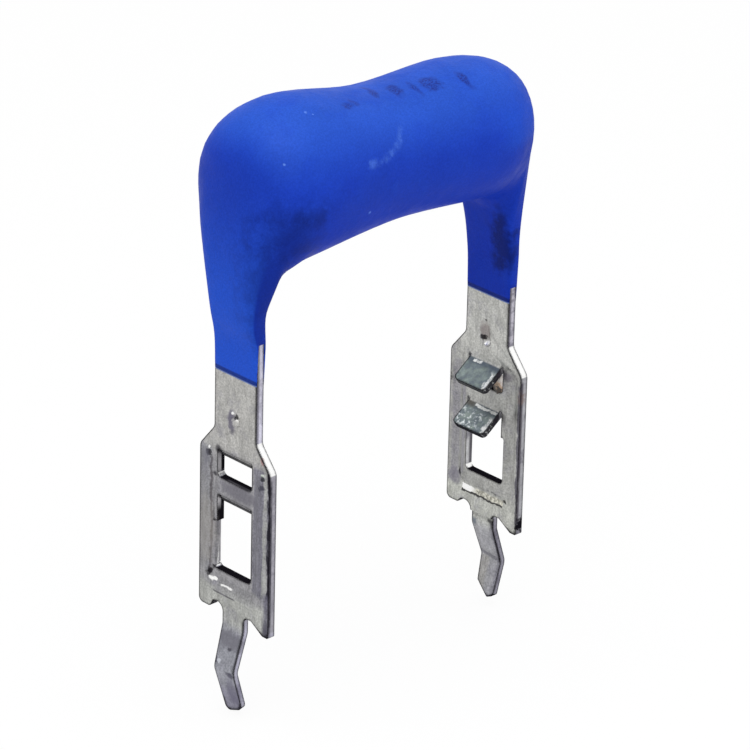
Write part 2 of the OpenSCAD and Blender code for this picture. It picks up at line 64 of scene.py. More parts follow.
# in millimetres: the plates' inner faces from the middle, where the caps meet them, and the
# heights of the coat's two lower edges
inner_face_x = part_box("end_cap_right")[1].x / MM
coat_points = [vertex.co / MM for vertex in nodes["coating"].data.vertices]
left_coat_edge = min(point.z for point in coat_points if point.x < 0)
right_coat_edge = min(point.z for point in coat_points if point.x > 0)


# ------------------------------------------------------------------ material nodes

# the cosine between a surface's own normal and its rounded one, where an edge begins to show
# and where it shows in full
EDGE_BEGINS = 0.955
EDGE_FULL = 0.885
EDGE_SAMPLES = 8


class Nodes:
    """Short names for the nodes of a material or a world. A mask runs from 0 to 1."""

    def __init__(self, tree):
        self.tree = tree
        tree.nodes.clear()

    def add(self, kind):
        return self.tree.nodes.new(kind)

    def link(self, source, target):
        self.tree.links.new(source, target)

    def feed(self, target, value):
        """Links another node's output, or sets a plain number, vector or colour"""
        if isinstance(value, bpy.types.NodeSocket):
            self.link(value, target)
        else:
            target.default_value = value

    def math(self, operation, first, second=0.0, clamp=False):
        node = self.add("ShaderNodeMath")
        node.operation = operation
        node.use_clamp = clamp
        self.feed(node.inputs[0], first)
        self.feed(node.inputs[1], second)
        return node.outputs[0]

    def vector_math(self, operation, first, second=None):
        node = self.add("ShaderNodeVectorMath")
        node.operation = operation
        self.feed(node.inputs[0], first)
        if second is not None:
            self.feed(node.inputs[1], second)
        return node.outputs

    def shifted(self, value, by, share):
        """A value moved by a share of another one"""
        return self.math("ADD", value, self.math("MULTIPLY", by, share))

    def scaled(self, base, amount):
        """A colour or a place times an amount"""
        node = self.add("ShaderNodeVectorMath")
        node.operation = "SCALE"
        self.feed(node.inputs[0], base)
        self.feed(node.inputs["Scale"], amount)
        return node.outputs["Vector"]

    def split(self, vector):
        """The parts of a vector along X, Y and Z"""
        node = self.add("ShaderNodeSeparateXYZ")
        self.link(vector, node.inputs[0])
        return node.outputs

    def between(self, value, low, high, to_low=0.0, to_high=1.0):
        """value from low to high becomes a smooth run from to_low to to_high"""
        node = self.add("ShaderNodeMapRange")
        node.interpolation_type = "SMOOTHSTEP"
        for name, number in (("Value", value), ("From Min", low), ("From Max", high),
                             ("To Min", to_low), ("To Max", to_high)):
            self.feed(node.inputs[name], number)
        return node.outputs["Result"]

    def band(self, value, low, high, soft):
        """1 while value lies from low to high, fading over soft beyond them"""
        return self.every(self.between(value, low - soft, low),
                          self.between(value, high, high + soft, 1.0, 0.0))

    def every(self, first, *others):
        """Masks that must all hold"""
        for mask in others:
            first = self.math("MULTIPLY", first, mask)
        return first

    def either(self, first, *others):
        """Masks of which one is enough"""
        for mask in others:
            first = self.math("MAXIMUM", first, mask)
        return first

    def blend(self, factor, first, second):
        """The first colour where the factor is 0 and the second where it is 1"""
        node = self.add("ShaderNodeMix")
        node.data_type = "RGBA"
        self.feed(node.inputs["Factor"], factor)
        self.feed(node.inputs["A"], first)
        self.feed(node.inputs["B"], second)
        return node.outputs["Result"]

    def lay(self, base, shade, *masks):
        """A shade laid over the base where all the masks hold"""
        return self.blend(self.every(*masks), base, shade)

    def backdrop_rays(self):
        """1 for rays that look at the backdrop itself, also in metal and through glass"""
        rays = self.add("ShaderNodeLightPath")
        return self.either(rays.outputs["Is Camera Ray"], rays.outputs["Is Glossy Ray"],
                           rays.outputs["Is Transmission Ray"])

    def mixed_shader(self, factor, first, second):
        """The first shader where the factor is 0 and the second where it is 1"""
        node = self.add("ShaderNodeMixShader")
        for socket, value in zip(node.inputs, (factor, first, second)):
            self.feed(socket, value)
        return node.outputs[0]


class Finish(Nodes):
    """A material under construction, with patterns in millimetres on the object"""

    def __init__(self, name):
        self.material = bpy.data.materials.new(name)
        self.material.use_nodes = True
        super().__init__(self.material.node_tree)
        self.shader = self.add("ShaderNodeBsdfPrincipled")
        self.output = self.add("ShaderNodeOutputMaterial")
        self.link(self.shader.outputs["BSDF"], self.output.inputs["Surface"])
        self.millimetres = self.scaled(self.add("ShaderNodeTexCoord").outputs["Object"], 1 / MM)
        self.x, self.y, self.z = self.split(self.millimetres)
        # how far the surface faces along each axis, from -1 to 1
        normal = self.add("ShaderNodeNewGeometry").outputs["Normal"]
        self.facing_x, self.facing_y, self.facing_z = self.split(normal)

    def stretched(self, scale, at=(0, 0, 0)):
        """Places on the object, scaled along each axis and then moved"""
        node = self.add("ShaderNodeMapping")
        node.inputs["Scale"].default_value = scale
        node.inputs["Location"].default_value = at
        self.link(self.millimetres, node.inputs["Vector"])
        return node.outputs["Vector"]

    def noise(self, per_mm, detail=3.0, rough=0.55, place=None):
        """A cloudy pattern with about so many patches in a millimetre"""
        node = self.add("ShaderNodeTexNoise")
        node.inputs["Scale"].default_value = per_mm
        node.inputs["Detail"].default_value = detail
        node.inputs["Roughness"].default_value = rough
        self.link(place or self.millimetres, node.inputs["Vector"])
        return node.outputs["Fac"]

    def near(self, point, radius, soft, stretch=(1, 1, 1), wobble=None):
        """1 within radius of a point and 0 beyond the soft rim, in millimetres"""
        away = self.vector_math("SUBTRACT", self.millimetres, point)["Vector"]
        shaped = self.vector_math("MULTIPLY", away, stretch)["Vector"]
        distance = self.vector_math("LENGTH", shaped)["Value"]
        if wobble is not None:
            distance = self.math("ADD", distance, wobble)
        return self.between(distance, radius, radius + soft, 1.0, 0.0)

    def arc(self, centre, radius, half_width, soft):
        """1 along a circle in the plane of X and Z, in millimetres"""
        flattened = self.stretched((1, 0, 1), at=(-centre[0], 0, -centre[1]))
        distance = self.vector_math("LENGTH", flattened)["Value"]
        off = self.math("ABSOLUTE", self.math("SUBTRACT", distance, radius))
        return self.between(off, half_width, half_width + soft, 1.0, 0.0)

    def rounding(self, radius_mm):
        """1 on an edge of the mesh and 0 beyond about the radius from it"""
        rounded = self.add("ShaderNodeBevel")
        rounded.samples = EDGE_SAMPLES
        rounded.inputs["Radius"].default_value = radius_mm * MM
        flat = self.add("ShaderNodeNewGeometry").outputs["True Normal"]
        cosine = self.vector_math("DOT_PRODUCT", rounded.outputs["Normal"], flat)["Value"]
        return self.between(cosine, EDGE_BEGINS, EDGE_FULL)

    def relief(self, height, depth_mm, strength=1.0, under=None):
        """A normal for bumps of a depth, over the bumps of another normal"""
        node = self.add("ShaderNodeBump")
        node.inputs["Strength"].default_value = strength
        node.inputs["Distance"].default_value = depth_mm * MM
        self.feed(node.inputs["Height"], height)
        if under is not None:
            self.link(under, node.inputs["Normal"])
        return node.outputs["Normal"]

    def wear(self, **sockets):
        """Feeds the shader's sockets, whose names have _ for a space"""
        for name, value in sockets.items():
            self.feed(self.shader.inputs[name.replace("_", " ")], value)


def colour(r, g, b):
    return (r, g, b, 1.0)


def tone(*levels):
    """A colour written as screen levels from 0 to 255"""
    return colour(*(((level / 255 + 0.055) / 1.055) ** 2.4 for level in levels))


# ------------------------------------------------------------------ the coat's finish

# lit and shaded copies of the blue, painted light and shade: underside, sides, top, legs, ends
# and the dark of the painted shadows; the others are its mottle, scuffs, specks, ink and lower
# edges
BLUES = {
    "underside": colour(0.006, 0.032, 0.390),
    "sides": colour(0.010, 0.043, 0.425),
    "top": colour(0.020, 0.078, 0.470),
    "mottle": colour(0.020, 0.070, 0.500),
    "legs": colour(0.005, 0.028, 0.385),
    "ends": colour(0.017, 0.085, 0.590),
    "painted_shadow": colour(0.003, 0.012, 0.130),
    "scuff": colour(0.10, 0.23, 0.74),
    "speck": colour(0.15, 0.30, 0.80),
    "ink": colour(0.010, 0.012, 0.120),
    "edge": colour(0.003, 0.012, 0.110),
    "rim": colour(0.20, 0.28, 0.52),
}
# patches of painted shade in the coat's fillets and where it curves in: place, radius, soft rim,
# stretch, strength
PAINTED_SHADOWS = (
    ((9.4, -1.25, 18.5), 0.35, 0.9, (1.0, 1.0, 0.42), 0.85),
    ((-9.9, -2.9, 21.5), 0.4, 1.8, (0.7, 0.7, 0.35), 0.5),
    ((-9.4, -3.6, 25.2), 0.3, 1.6, (0.6, 0.6, 0.7), 0.45),
    ((-8.6, -4.2, 26.3), 0.1, 0.9, (0.6, 0.6, 1.2), 0.35),
)
# place, radius, stretch
INK_SMUDGES = (
    ((-3.3, -1.6, 30.7), 0.16, (0.5, 1.0, 1.6)),
    ((-0.7, -0.6, 30.4), 0.14, (1.5, 0.5, 1.0)),
    ((0.9, -0.7, 30.3), 0.24, (1.0, 0.6, 1.0)),
    ((2.1, -1.0, 30.2), 0.20, (1.6, 0.5, 1.0)),
    ((3.2, -1.3, 30.1), 0.34, (0.7, 0.9, 1.0)),
    ((5.4, -1.9, 29.9), 0.22, (1.4, 0.5, 0.8)),
)
# place, radius
PALE_SPECKS = (
    ((-6.8, -1.6, 31.1), 0.07),
    ((-6.5, -1.9, 31.0), 0.04),
    ((-4.1, -4.1, 25.2), 0.08),
    ((-4.4, -4.1, 25.6), 0.04),
    ((1.6, -3.9, 25.4), 0.04),
    ((-9.6, -3.0, 29.2), 0.05),
)
# the curve of the scuff, in the plane of X and Z
SCUFF_CENTRE = (-3.42, 31.74)
SCUFF_RADIUS = 3.72


def blue_coat():
    """Satin royal blue cement, with painted shade over the legs, scuffed on its sides"""
    coat = Finish("blue_coat")
    mottle = coat.noise(1.1, detail=4.0, rough=0.6)
    grain = coat.noise(9.0, detail=3.0, rough=0.7)
    base = coat_painted_shadows(coat, coat_shades(coat, mottle), mottle)
    base = coat_scuffs(coat, base, mottle, grain)
    base = coat_smudges(coat, base, mottle, grain)
    base = coat.scaled(base, coat.between(grain, 0.32, 0.68, 0.90, 1.10))
    coat.wear(Base_Color=coat_lower_edges(coat, base), IOR=1.5, Specular_IOR_Level=0.04,
              Roughness=coat.between(mottle, 0.3, 0.75, 0.44, 0.58),
              Normal=coat.relief(grain, 0.02, 0.35, coat.relief(mottle, 0.10, 0.45)))
    return coat.material


def coat_shades(coat, mottle):
    """Painted light and shade on the blue: lighter upwards, darker over the legs, lighter at the
    ends
    """
    x, z = coat.x, coat.z
    cloud = coat.noise(0.22, detail=2.0)
    blotch = coat.noise(0.5, detail=5.0, rough=0.65)
    # painted shade and light by facing: darker on the underside, lighter on top
    base = coat.blend(coat.between(coat.facing_z, -0.8, 0.1), BLUES["underside"],
                      BLUES["sides"])
    base = coat.lay(base, BLUES["top"], coat.between(coat.facing_z, 0.1, 0.95))
    base = coat.scaled(base, coat.between(cloud, 0.35, 0.68, 0.95, 1.06))
    base = coat.lay(base, BLUES["mottle"], coat.between(mottle, 0.52, 0.78, 0.0, 0.25))
    # painted shade over the legs, where they stand under the coat's arch
    left_leg = coat.every(coat.between(x, -3.5, -8.0), coat.between(z, 28.5, 22.0),
                          coat.between(coat.facing_y, 0.1, -0.7),
                          coat.between(z, 16.0, 21.0, 0.1, 0.5))
    right_leg = coat.every(coat.between(x, 5.0, 9.0), coat.between(z, 26.5, 18.5, 0.0, 0.5))
    legs = coat.math("ADD", coat.either(left_leg, right_leg),
                     coat.between(blotch, 0.35, 0.65, -0.15, 0.15), clamp=True)
    base = coat.lay(base, BLUES["legs"], legs)
    # painted light on the left end and on a patch of the right end's front
    left_end = coat.every(coat.between(coat.facing_x, -0.55, -0.92),
                          coat.between(x, -4.0, -8.0), coat.between(z, 28.0, 19.0), 0.9)
    right_end = coat.every(coat.between(x, 5.5, 7.5), coat.between(coat.facing_y, -0.5, -0.85),
                           coat.between(z, 25.6, 26.6), coat.between(z, 29.0, 27.6), 0.5)
    return coat.lay(base, BLUES["ends"], coat.either(left_end, right_end))


def coat_painted_shadows(coat, base, mottle):
    """Dark patches of painted shade in the coat's fillets and where it curves in"""
    ragged = coat.between(mottle, 0.3, 0.7, -0.35, 0.35)
    for place, radius, soft, stretch, strength in PAINTED_SHADOWS:
        painted_shadow = coat.near(place, radius, soft, stretch, ragged)
        base = coat.lay(base, BLUES["painted_shadow"], painted_shadow, strength)
    return base


def coat_scuffs(coat, base, mottle, grain):
    """A pale scuff that curves across the front, and pale specks"""
    scuff = coat.arc(SCUFF_CENTRE, SCUFF_RADIUS, 0.04, 0.30)
    base = coat.lay(base, BLUES["scuff"], scuff, coat.band(coat.x, -4.2, -0.6, 0.5),
                    coat.between(coat.y, -2.5, -3.2), coat.between(mottle, 0.42, 0.66), 0.42)
    flecked = coat.between(grain, 0.3, 0.7, -0.04, 0.04)
    for place, radius in PALE_SPECKS:
        speck = coat.near(place, radius * 0.4, radius * 1.4, wobble=flecked)
        base = coat.lay(base, BLUES["speck"], speck, 0.6)
    return base


def coat_smudges(coat, base, mottle, grain):
    """Worn ink without letters or digits"""
    worn = coat.between(grain, 0.38, 0.56)
    ragged = coat.between(mottle, 0.3, 0.7, -0.2, 0.2)
    for place, radius, stretch in INK_SMUDGES:
        smudge = coat.near(place, radius, 0.35, stretch, ragged)
        base = coat.lay(base, BLUES["ink"], smudge, worn, 0.72)
    return base


def coat_lower_edges(coat, base):
    """The lower edges of the coat, drawn out thin: a dark line over a pale rim"""
    edge_z = coat.between(coat.x, -1.0, 1.0, left_coat_edge, right_coat_edge)
    above = coat.math("SUBTRACT", coat.z, edge_z)
    base = coat.lay(base, BLUES["edge"], coat.band(above, 0.10, 0.26, 0.12), 0.7)
    return coat.lay(base, BLUES["rim"], coat.between(above, 0.10, 0.04), 0.7)


# ------------------------------------------------------------------ the metal's finish

TERMINALS = {
    "left": {
        # tones of the flat faces, painted reflection that changes with height
        "shank": tone(178, 177, 174), "middle": tone(150, 149, 152),
        "foot": tone(173, 174, 170), "pin": tone(150, 151, 159),
        # tones of the sheared sides, painted reflection that changes with height, and of the
        # painted shade line on their fronts
        "shank_side": tone(210, 208, 224), "plate_side": tone(164, 162, 171),
        "pin_side": tone(182, 181, 197), "window_side": tone(164, 162, 165),
        "edge_line": tone(46, 45, 56),
        # how far into the sheet the painted shade lines on its sides begin and are in full
        "line_from": 0.26, "line_to": 0.36,
        # how strongly blotches darken the sides
        "blotches": 0.25,
    },
    "right": {
        "shank": tone(188, 188, 184), "middle": tone(168, 168, 165),
        "foot": tone(186, 187, 181), "pin": tone(162, 162, 166),
        "shank_side": tone(190, 187, 198), "plate_side": tone(164, 164, 169),
        "pin_side": tone(140, 138, 150), "window_side": tone(196, 196, 198),
        "edge_line": tone(84, 80, 90),
        "line_from": 0.24, "line_to": 0.14,
        "blotches": 0.6,
    },
}
# black of painted shade along edges, in the windows, under the flaps and at shaded ends, and of
# the front tab's tip
BLACK_EDGE = colour(0.008, 0.007, 0.010)
# white of painted highlights on slants, crests, the dimples and the groove
PAINTED_HIGHLIGHT = colour(0.95, 0.95, 0.94)

# heights over which a tone turns into the next one, on the flat faces and on the sheared sides
SHANK_FACE = (9.4, 11.4)
FOOT_FACE = (2.2, 1.4)
PIN_FACE = (0.2, -0.9)
SHANK_SIDE = (11.0, 11.6)
PIN_SIDE = (0.5, 0.1)
# heights of the windows, their flaps, the dimple and the pin's tip, and how far to the front
# and back they reach
WINDOWS_Z = (2.0, 11.0)
WINDOWS_REACH = (2.4, 2.0)
FLAPS_Z = (7.0, 11.0)
FLAPS_REACH = (1.5, 1.4)
DIMPLE_Z = (11.2, 13.5)
DIMPLE_REACH = (0.8, 0.7)
PIN_TIP = (-4.9, -5.1)
# stripes of painted shade and highlight up each plate, beside the bead and along its edges: place
# of their front and back edges, softness, shade, strength
LEFT_STRIPES = (
    (1.98, 3.2, 0.10, tone(141, 141, 145), 0.9),
    (-2.46, -1.62, 0.10, tone(118, 117, 127), 0.9),
    (-2.66, -2.50, 0.04, tone(163, 164, 162), 0.9),
    (-3.20, -2.80, 0.06, tone(36, 35, 46), 0.95),
)
RIGHT_STRIPES = (
    (2.2, 2.6, 0.15, tone(146, 144, 152), 0.6),
    (1.62, 1.82, 0.08, tone(138, 136, 146), 0.6),
    (-2.95, -2.78, 0.05, tone(88, 85, 98), 0.85),
)
# stains, and spots of painted shade and highlight at the dimple, the bead's ends and the groove:
# place, radius, soft rim, stretch, shade, strength
LEFT_MARKS = (
    # the dimple: painted shade below and beside it, and a painted highlight on its top
    ((-10.3, 0.28, 12.62), 0.22, 0.30, (1.0, 1.0, 0.6), tone(100, 96, 114), 0.85),
    ((-10.3, -0.06, 12.98), 0.06, 0.10, (1.0, 1.0, 0.8), BLACK_EDGE, 0.85),
    ((-10.3, 0.18, 13.15), 0.04, 0.07, (1.0, 0.8, 1.2), PAINTED_HIGHLIGHT, 0.9),
    ((-10.3, 1.45, 10.55), 0.10, 0.30, (1.0, 1.0, 1.0), tone(60, 58, 64), 0.8),
    # the bead's upper end: painted shade on it and below it, and a painted highlight at its top
    ((-10.4, 2.12, 10.08), 0.13, 0.12, (1.0, 0.9, 1.0), BLACK_EDGE, 0.95),
    ((-10.4, 2.40, 9.70), 0.2, 0.35, (1.0, 1.0, 0.7), tone(112, 111, 122), 0.7),
    ((-10.3, 2.18, 10.42), 0.04, 0.07, (1.0, 0.5, 1.2), PAINTED_HIGHLIGHT, 0.9),
    # the bead's lower corner: a painted shadow and a painted highlight
    ((-10.3, 2.00, 2.57), 0.13, 0.12, (1.0, 1.0, 0.7), BLACK_EDGE, 0.95),
    ((-10.3, 1.66, 2.22), 0.13, 0.10, (1.0, 0.7, 1.3), PAINTED_HIGHLIGHT, 0.95),
    ((-10.4, -2.40, 10.25), 0.05, 0.06, (1.0, 1.0, 1.0), tone(215, 222, 212), 0.8),
    ((-10.4, -2.38, 10.00), 0.09, 0.08, (1.0, 1.0, 1.0), tone(40, 42, 46), 0.85),
    ((-10.4, -2.35, 9.42), 0.10, 0.12, (1.0, 0.8, 1.0), tone(62, 62, 74), 0.8),
    ((-10.3, -2.25, 11.05), 0.05, 0.12, (1.0, 1.0, 0.6), tone(178, 120, 118), 0.55),
    ((-10.4, -2.75, 0.45), 0.15, 0.40, (1.0, 1.0, 0.7), tone(72, 70, 84), 0.75),
    ((-10.5, 0.05, -1.15), 0.30, 0.45, (1.0, 0.45, 1.0), tone(112, 111, 120), 0.75),
    ((-10.6, -0.20, -1.62), 0.08, 0.12, (1.0, 0.6, 1.4), tone(60, 58, 68), 0.7),
    ((-10.9, 0.72, -2.55), 0.07, 0.12, (1.0, 1.0, 1.0), tone(70, 68, 84), 0.8),
    ((-10.9, 0.45, -2.45), 0.06, 0.10, (1.0, 1.0, 1.0), tone(205, 208, 216), 0.7),
    ((-10.9, -0.55, -3.05), 0.10, 0.20, (1.0, 0.7, 1.2), tone(58, 56, 74), 0.8),
    ((-10.3, -0.45, 8.30), 0.4, 0.7, (1.0, 0.45, 1.5), tone(108, 106, 116), 0.7),
    ((-10.3, 1.52, 8.86), 0.06, 0.14, (1.0, 0.6, 1.3), tone(44, 42, 50), 0.8),
    ((-10.6, -0.52, -4.30), 0.25, 0.4, (1.0, 0.8, 0.35), tone(84, 80, 104), 0.6),
    ((-10.4, 2.45, 5.20), 0.35, 0.5, (1.0, 0.7, 0.28), tone(158, 153, 144), 0.35),
)
RIGHT_MARKS = (
    # the dimple: painted shade at its top and in its deep end, and a painted highlight on its
    # lower wall
    ((9.75, 0.13, 13.05), 0.08, 0.08, (1.0, 1.0, 1.0), tone(40, 36, 40), 0.85),
    ((9.8, 0.15, 12.35), 0.22, 0.30, (1.0, 1.0, 0.6), tone(150, 140, 138), 0.7),
    ((9.8, 0.32, 11.88), 0.14, 0.10, (1.0, 0.8, 1.2), BLACK_EDGE, 0.9),
    ((9.85, 0.02, 11.52), 0.12, 0.08, (1.0, 0.9, 1.1), PAINTED_HIGHLIGHT, 0.9),
    ((9.8, -1.70, 10.05), 0.20, 0.35, (1.0, 0.7, 1.3), tone(98, 92, 104), 0.7),
    # a painted shadow in the groove's lower back corner
    ((9.8, 1.96, 2.55), 0.12, 0.12, (1.0, 1.3, 0.6), BLACK_EDGE, 0.95),
    ((9.8, 2.82, 8.44), 0.12, 0.10, (1.0, 1.0, 0.8), BLACK_EDGE, 0.85),
    ((9.8, 2.45, 2.05), 0.3, 0.35, (1.0, 1.0, 1.0), tone(122, 118, 134), 0.65),
    ((9.8, -1.80, 1.75), 0.08, 0.08, (1.0, 0.8, 1.2), tone(30, 30, 30), 0.9),
    ((9.8, -1.05, 2.05), 0.06, 0.10, (1.0, 0.25, 1.2), tone(84, 84, 88), 0.7),
    ((9.9, 0.70, -0.50), 0.12, 0.20, (1.0, 0.9, 1.0), tone(96, 106, 118), 0.75),
    ((10.3, -0.10, -4.60), 0.3, 0.5, (1.0, 0.7, 1.0), tone(112, 108, 124), 0.6),
)


class Tin(Finish):
    """The finish of one terminal, with the masks and patterns that its functions share"""

    def __init__(self, side):
        super().__init__("tin_" + side)
        self.own = TERMINALS[side]
        self.off_middle = self.math("ABSOLUTE", self.y)
        # into the sheet from its inner face, and below 0 on the flaps
        self.depth = self.math("SUBTRACT", self.math("ABSOLUTE", self.x), inner_face_x)
        self.flat = self.math("ABSOLUTE", self.facing_x)
        self.sheared = self.between(self.flat, 0.35, 0.2)
        self.in_window = self.every(self.between(self.off_middle, *WINDOWS_REACH),
                                    self.band(self.z, *WINDOWS_Z, 0.1))
        self.patches = self.noise(0.9, detail=5.0, rough=0.65)
        self.streaks = self.noise(1.6, detail=4.0, rough=0.65,
                                  place=self.stretched((1, 1.6, 0.6)))
        self.grain = self.noise(8.0, detail=3.0, rough=0.75)
        wave = self.between(self.streaks, 0.3, 0.7, -0.07, 0.07)
        self.waved_y = self.math("ADD", self.y, wave)

    def striped(self, base, stripes, where):
        """Stripes of painted shade and highlight that run up the plate, each from one place
        across it to another
        """
        for front, back, soft, shade, strength in stripes:
            stripe = self.band(self.waved_y, front, back, soft)
            base = self.lay(base, shade, stripe, where, strength)
        return base

    def marked(self, base, marks, where, ragged):
        """Stains, and spots of painted shade and highlight, with ragged rims"""
        for place, radius, soft, stretch, shade, strength in marks:
            mark = self.near(place, radius, soft, stretch, ragged)
            base = self.lay(base, shade, mark, where, strength)
        return base


def tinned_steel(side):
    """Mottled grey tin plate, with painted highlights where it was sheared at a slant and black
    painted shade along its edges
    """
    tin = Tin(side)
    finish = TERMINAL_FINISHES[side]
    face = tin_face(tin, finish["plate"])
    base = tin.lay(face, tin_sides(tin, finish["windows"]), tin.sheared)
    base = tin_edge_shade(tin, finish["marks"](tin, base), finish["unshaded_edges"](tin))
    bright = tin.add("ShaderNodeRGBToBW")
    tin.link(base, bright.inputs[0])
    tin.wear(Base_Color=base, Metallic=tin.between(bright.outputs[0], 0.02, 0.09),
             Roughness=tin.between(tin.patches, 0.3, 0.7, 0.36, 0.52), Specular_IOR_Level=0.0,
             Normal=tin.relief(tin.grain, 0.01, 0.3, tin.relief(tin.patches, 0.02, 0.35)))
    return tin.material


def tin_face(tin, plate):
    """The flat faces: their tones from the shank down to the pin, painted reflection that changes
    with height, and their mottle
    """
    z = tin.z
    base = tin.blend(tin.between(z, *SHANK_FACE), tin.own["middle"], tin.own["shank"])
    base = tin.lay(base, tin.own["foot"], tin.between(z, *FOOT_FACE))
    base = tin.lay(base, tin.own["pin"], tin.between(z, *PIN_FACE))
    base = plate(tin, base)
    base = tin.lay(base, tone(146, 144, 156), tin.between(tin.patches, 0.50, 0.72, 0.0, 0.45))
    base = tin.scaled(base, tin.between(tin.streaks, 0.34, 0.66, 0.84, 1.14))
    base = tin.scaled(base, tin.between(tin.grain, 0.36, 0.64, 0.80, 1.20))
    # painted shade: black where the flaps' bends roll away under the tops of the windows
    return tin.lay(base, BLACK_EDGE, tin.between(tin.flat, 0.995, 0.96),
                   tin.between(tin.facing_z, -0.03, -0.12), tin.band(z, *FLAPS_Z, 0.1),
                   tin.between(tin.off_middle, *FLAPS_REACH),
                   tin.between(tin.depth, 0.1, 0.2), 0.85)


def tin_sides(tin, windows):
    """The sheared sides: tones of painted reflection, lines of painted shade, blotches, painted
    highlights on the slants and black painted shade on faces that look up or down
    """
    y, z = tin.y, tin.z
    sides = tin.blend(tin.between(z, *SHANK_SIDE), tin.own["plate_side"], tin.own["shank_side"])
    sides = tin.lay(sides, tin.own["pin_side"], tin.between(z, *PIN_SIDE))
    sides = windows(tin, sides)
    # painted shade near the outer face: along the shank's front sides, and as a dark line down
    # the plate's front sides
    faces_front = tin.between(tin.facing_y, -0.5, -0.8)
    line = tin.between(tin.depth, tin.own["line_from"], tin.own["line_to"])
    sides = tin.lay(sides, tone(84, 82, 92), tin.between(z, 11.2, 11.5), faces_front, line, 0.6)
    sides = tin.lay(sides, tin.own["edge_line"], tin.band(z, 0.8, 9.9, 0.2),
                    tin.between(y, -2.3, -2.6), faces_front, line,
                    tin.between(tin.streaks, 0.34, 0.5, 0.5, 0.9))
    sides = tin.scaled(sides, tin.between(tin.streaks, 0.3, 0.7, 0.86, 1.10))
    sides = tin.scaled(sides, tin.between(tin.grain, 0.3, 0.7, 0.88, 1.12))
    sides = tin.lay(sides, tone(98, 95, 108), tin.between(tin.patches, 0.50, 0.60),
                    tin.own["blotches"])
    # painted highlights on the slants, and black painted shade on faces that look up or down
    sides = tin.lay(sides, PAINTED_HIGHLIGHT, tin.between(tin.facing_z, 0.15, 0.3),
                    tin.between(tin.facing_z, 0.92, 0.8))
    up_or_down = tin.either(tin.between(tin.facing_z, 0.86, 0.95),
                            tin.between(tin.facing_z, -0.2, -0.5))
    return tin.lay(sides, BLACK_EDGE, up_or_down)


def tin_edge_shade(tin, base, unshaded_edges):
    """Painted shade: black lines along the edges, broken up"""
    y, z = tin.y, tin.z
    dimple = tin.every(tin.band(z, *DIMPLE_Z, 0.1), tin.between(tin.off_middle, *DIMPLE_REACH))
    unshaded = tin.either(unshaded_edges, dimple)
    base = tin.lay(base, BLACK_EDGE, tin.rounding(0.28),
                   tin.between(tin.grain, 0.30, 0.5, 0.6, 1.0),
                   tin.between(unshaded, 0.0, 1.0, 0.95, 0.0))
    # the painted shade is wider along the front edges of the faces and at the pin's tip
    front = tin.either(tin.every(tin.between(y, -1.2, -1.4), tin.between(z, 10.5, 10.7)),
                       tin.every(tin.between(y, -2.0, -2.2), tin.between(z, 9.4, 9.6)),
                       tin.every(tin.between(y, -0.35, -0.5), tin.between(z, 0.4, 0.2),
                                 tin.between(z, -3.0, -2.8)),
                       tin.between(z, *PIN_TIP))
    return tin.lay(base, BLACK_EDGE, tin.rounding(0.60), tin.between(tin.flat, 0.75, 0.88), front,
                   tin.between(tin.grain, 0.30, 0.5, 0.5, 0.9))


def left_plate(tin, base):
    """Shading beside the windows and over the pressed bead of the left terminal"""
    y, z = tin.waved_y, tin.z
    base = tin.striped(base, LEFT_STRIPES, tin.band(z, 2.6, 10.3, 0.3))
    # painted shade in the crease behind the windows
    base = tin.lay(base, tone(92, 88, 92), tin.band(y, 1.88, 1.95, 0.07),
                   tin.band(z, 2.6, 9.8, 0.2), 0.8)
    # the front tab darkens towards its front edge
    base = tin.lay(base, tone(100, 98, 114), tin.between(y, -2.3, -2.7),
                   tin.band(z, -0.4, 2.6, 0.3), 0.8)
    # the bead's lower run, with painted shade below it and painted light along it, and the pin's
    # dull tip
    run = tin.band(y, -1.7, 1.5, 0.2)
    base = tin.lay(base, tone(70, 68, 76), tin.band(z, 1.40, 1.50, 0.05),
                   tin.band(y, 0.0, 1.6, 0.3), 0.8)
    base = tin.lay(base, tone(128, 128, 130), tin.band(z, 1.90, 2.35, 0.12), run, 0.55)
    base = tin.lay(base, tone(120, 117, 136), tin.between(z, -3.6, -4.8), 0.75)
    return tin.lay(base, tone(146, 146, 147), tin.band(z, 1.55, 1.80, 0.08), run, 0.6)


def left_windows(tin, sides):
    """The sides of the left terminal's windows, with black painted shade inwards above their step
    """
    sides = tin.lay(sides, tin.own["window_side"], tin.in_window)
    return tin.lay(sides, BLACK_EDGE, tin.in_window, tin.between(tin.z, 5.85, 5.95),
                   tin.between(tin.depth, 0.30, 0.20))


def left_unshaded_edges(tin):
    """Edges without the painted edge shade: behind the lower window's wide part, and in the
    windows above it
    """
    behind = tin.every(tin.band(tin.y, 1.55, 2.05, 0.05), tin.band(tin.z, 3.1, 5.8, 0.1))
    above = tin.every(tin.in_window, tin.sheared, tin.between(tin.z, 5.95, 6.05))
    return tin.either(behind, above)


def left_marks(tin, base):
    """Stains, and painted shade and highlights, on the left terminal's outer face"""
    outer = tin.between(tin.x, -10.0, -10.15)
    ragged = tin.between(tin.noise(2.6, detail=4.0), 0.3, 0.7, -0.10, 0.10)
    base = tin.marked(base, LEFT_MARKS, outer, ragged)
    # a painted highlight on the bead's crest along a part of its lower run
    crest = tin.band(tin.shifted(tin.z, ragged, 0.3), 2.00, 2.06, 0.04)
    return tin.lay(base, PAINTED_HIGHLIGHT, crest, tin.band(tin.y, 0.15, 0.95, 0.15), outer, 0.85)


